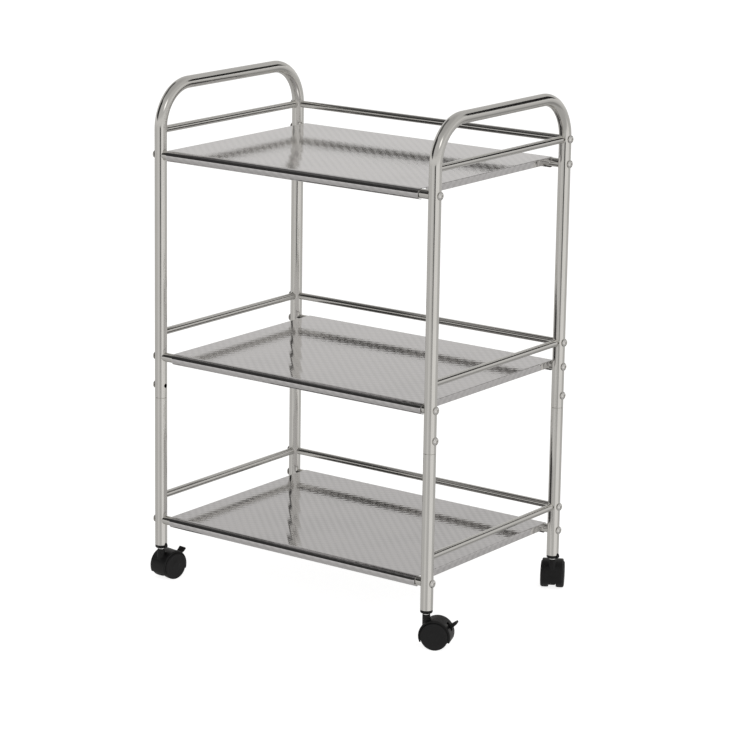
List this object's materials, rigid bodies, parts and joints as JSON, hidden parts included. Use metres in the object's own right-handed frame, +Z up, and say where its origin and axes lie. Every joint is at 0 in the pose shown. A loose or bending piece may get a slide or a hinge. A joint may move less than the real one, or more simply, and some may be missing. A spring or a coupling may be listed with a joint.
{
  "type": "rolling utility cart",
  "caption": "Open rolling utility cart of round stainless tube with guard-railed sheet shelves, hoop push handles at both ends and twin-wheel swivel casters, two with brakes.",
  "frame": {"origin": "on the floor, in the middle of the footprint of the whole cart with its casters as parked", "axes": "+Z up, +X to the right along the long side, +Y to the rear; the open front without a guard rail faces -Y"},
  "size_m": [0.6911, 0.4668, 0.916],
  "materials": {
    "polished_tube": "polished stainless tube, faint drawing lines along its length",
    "tray_sheet": "satin stainless sheet with a shallow embossed diamond lattice",
    "screw_steel": "bright domed screw heads",
    "zinc_pin": "bright zinc plate",
    "caster_plastic": "fine-grained moulded nylon",
    "wheel_plastic": "moulded wheel disc with a duller tread"
  },
  "bodies": {
    "cart_frame": {"left_upper_frame": "polished_tube", "right_upper_frame": "polished_tube", "bottom_left_side_rail": "polished_tube", "bottom_right_side_rail": "polished_tube", "bottom_rear_rail": "polished_tube", "bottom_front_shelf_tube": "polished_tube", "bottom_rear_shelf_tube": "polished_tube", "bottom_tray": "tray_sheet", "middle_left_side_rail": "polished_tube", "middle_right_side_rail": "polished_tube", "middle_rear_rail": "polished_tube", "middle_front_shelf_tube": "polished_tube", "middle_rear_shelf_tube": "polished_tube", "middle_tray": "tray_sheet", "top_left_side_rail": "polished_tube", "top_right_side_rail": "polished_tube", "top_rear_rail": "polished_tube", "top_front_shelf_tube": "polished_tube", "top_rear_shelf_tube": "polished_tube", "top_tray": "tray_sheet", "front_left_lower_leg": "polished_tube", "front_left_caster_socket": "caster_plastic", "front_left_caster_stem": "zinc_pin", "front_left_joint_screw": "screw_steel", "bottom_front_left_shelf_screw": "screw_steel", "middle_front_left_shelf_screw": "screw_steel", "top_front_left_shelf_screw": "screw_steel", "front_right_lower_leg": "polished_tube", "front_right_caster_socket": "caster_plastic", "front_right_caster_stem": "zinc_pin", "front_right_joint_screw": "screw_steel", "bottom_front_right_shelf_screw": "screw_steel", "middle_front_right_shelf_screw": "screw_steel", "top_front_right_shelf_screw": "screw_steel", "rear_left_lower_leg": "polished_tube", "rear_left_caster_socket": "caster_plastic", "rear_left_caster_stem": "zinc_pin", "rear_left_joint_screw": "screw_steel", "rear_right_lower_leg": "polished_tube", "rear_right_caster_socket": "caster_plastic", "rear_right_caster_stem": "zinc_pin", "rear_right_joint_screw": "screw_steel"},
    "front_left_caster": {"front_left_caster_housing": "caster_plastic", "front_left_axle": "zinc_pin"},
    "front_left_left_wheel_body": {"front_left_left_wheel": "wheel_plastic"},
    "front_left_right_wheel_body": {"front_left_right_wheel": "wheel_plastic"},
    "front_left_brake_lever_body": {"front_left_brake_lever": "caster_plastic"},
    "front_right_caster": {"front_right_caster_housing": "caster_plastic", "front_right_axle": "zinc_pin"},
    "front_right_left_wheel_body": {"front_right_left_wheel": "wheel_plastic"},
    "front_right_right_wheel_body": {"front_right_right_wheel": "wheel_plastic"},
    "front_right_brake_lever_body": {"front_right_brake_lever": "caster_plastic"},
    "rear_left_caster": {"rear_left_caster_housing": "caster_plastic", "rear_left_axle": "zinc_pin"},
    "rear_left_left_wheel_body": {"rear_left_left_wheel": "wheel_plastic"},
    "rear_left_right_wheel_body": {"rear_left_right_wheel": "wheel_plastic"},
    "rear_right_caster": {"rear_right_caster_housing": "caster_plastic", "rear_right_axle": "zinc_pin"},
    "rear_right_left_wheel_body": {"rear_right_left_wheel": "wheel_plastic"},
    "rear_right_right_wheel_body": {"rear_right_right_wheel": "wheel_plastic"}
  },
  "joints": [
    {"name": "front_left_swivel", "type": "hinge", "parent": "cart_frame", "child": "front_left_caster", "pos_m": [-0.295, -0.211, 0.058], "axis": [0, 0, 1], "continuous": true},
    {"name": "front_left_left_wheel_spin", "type": "hinge", "parent": "front_left_caster", "child": "front_left_left_wheel_body", "pos_m": [-0.29281, -0.19313, 0.0246], "axis": [-0.9925, 0.1219, 0], "continuous": true},
    {"name": "front_left_right_wheel_spin", "type": "hinge", "parent": "front_left_caster", "child": "front_left_right_wheel_body", "pos_m": [-0.29281, -0.19313, 0.0246], "axis": [-0.9925, 0.1219, 0], "continuous": true},
    {"name": "front_left_brake_press", "type": "hinge", "parent": "front_left_caster", "child": "front_left_brake_lever_body", "pos_m": [-0.29109, -0.17912, 0.03731], "axis": [-0.9925, 0.1219, 0], "range_deg": [0, 16]},
    {"name": "front_right_swivel", "type": "hinge", "parent": "cart_frame", "child": "front_right_caster", "pos_m": [0.295, -0.211, 0.058], "axis": [0, 0, 1], "continuous": true},
    {"name": "front_right_left_wheel_spin", "type": "hinge", "parent": "front_right_caster", "child": "front_right_left_wheel_body", "pos_m": [0.31169, -0.20426, 0.0246], "axis": [-0.3746, 0.9272, 0], "continuous": true},
    {"name": "front_right_right_wheel_spin", "type": "hinge", "parent": "front_right_caster", "child": "front_right_right_wheel_body", "pos_m": [0.31169, -0.20426, 0.0246], "axis": [-0.3746, 0.9272, 0], "continuous": true},
    {"name": "front_right_brake_press", "type": "hinge", "parent": "front_right_caster", "child": "front_right_brake_lever_body", "pos_m": [0.32478, -0.19897, 0.03731], "axis": [-0.3746, 0.9272, 0], "range_deg": [0, 16]},
    {"name": "rear_left_swivel", "type": "hinge", "parent": "cart_frame", "child": "rear_left_caster", "pos_m": [-0.295, 0.185, 0.058], "axis": [0, 0, 1], "continuous": true},
    {"name": "rear_left_left_wheel_spin", "type": "hinge", "parent": "rear_left_caster", "child": "rear_left_left_wheel_body", "pos_m": [-0.31074, 0.17627, 0.0246], "axis": [0.4848, -0.8746, 0], "continuous": true},
    {"name": "rear_left_right_wheel_spin", "type": "hinge", "parent": "rear_left_caster", "child": "rear_left_right_wheel_body", "pos_m": [-0.31074, 0.17627, 0.0246], "axis": [0.4848, -0.8746, 0], "continuous": true},
    {"name": "rear_right_swivel", "type": "hinge", "parent": "cart_frame", "child": "rear_right_caster", "pos_m": [0.295, 0.185, 0.058], "axis": [0, 0, 1], "continuous": true},
    {"name": "rear_right_left_wheel_spin", "type": "hinge", "parent": "rear_right_caster", "child": "rear_right_left_wheel_body", "pos_m": [0.28627, 0.20074, 0.0246], "axis": [-0.8746, -0.4848, 0], "continuous": true},
    {"name": "rear_right_right_wheel_spin", "type": "hinge", "parent": "rear_right_caster", "child": "rear_right_right_wheel_body", "pos_m": [0.28627, 0.20074, 0.0246], "axis": [-0.8746, -0.4848, 0], "continuous": true}
  ]
}
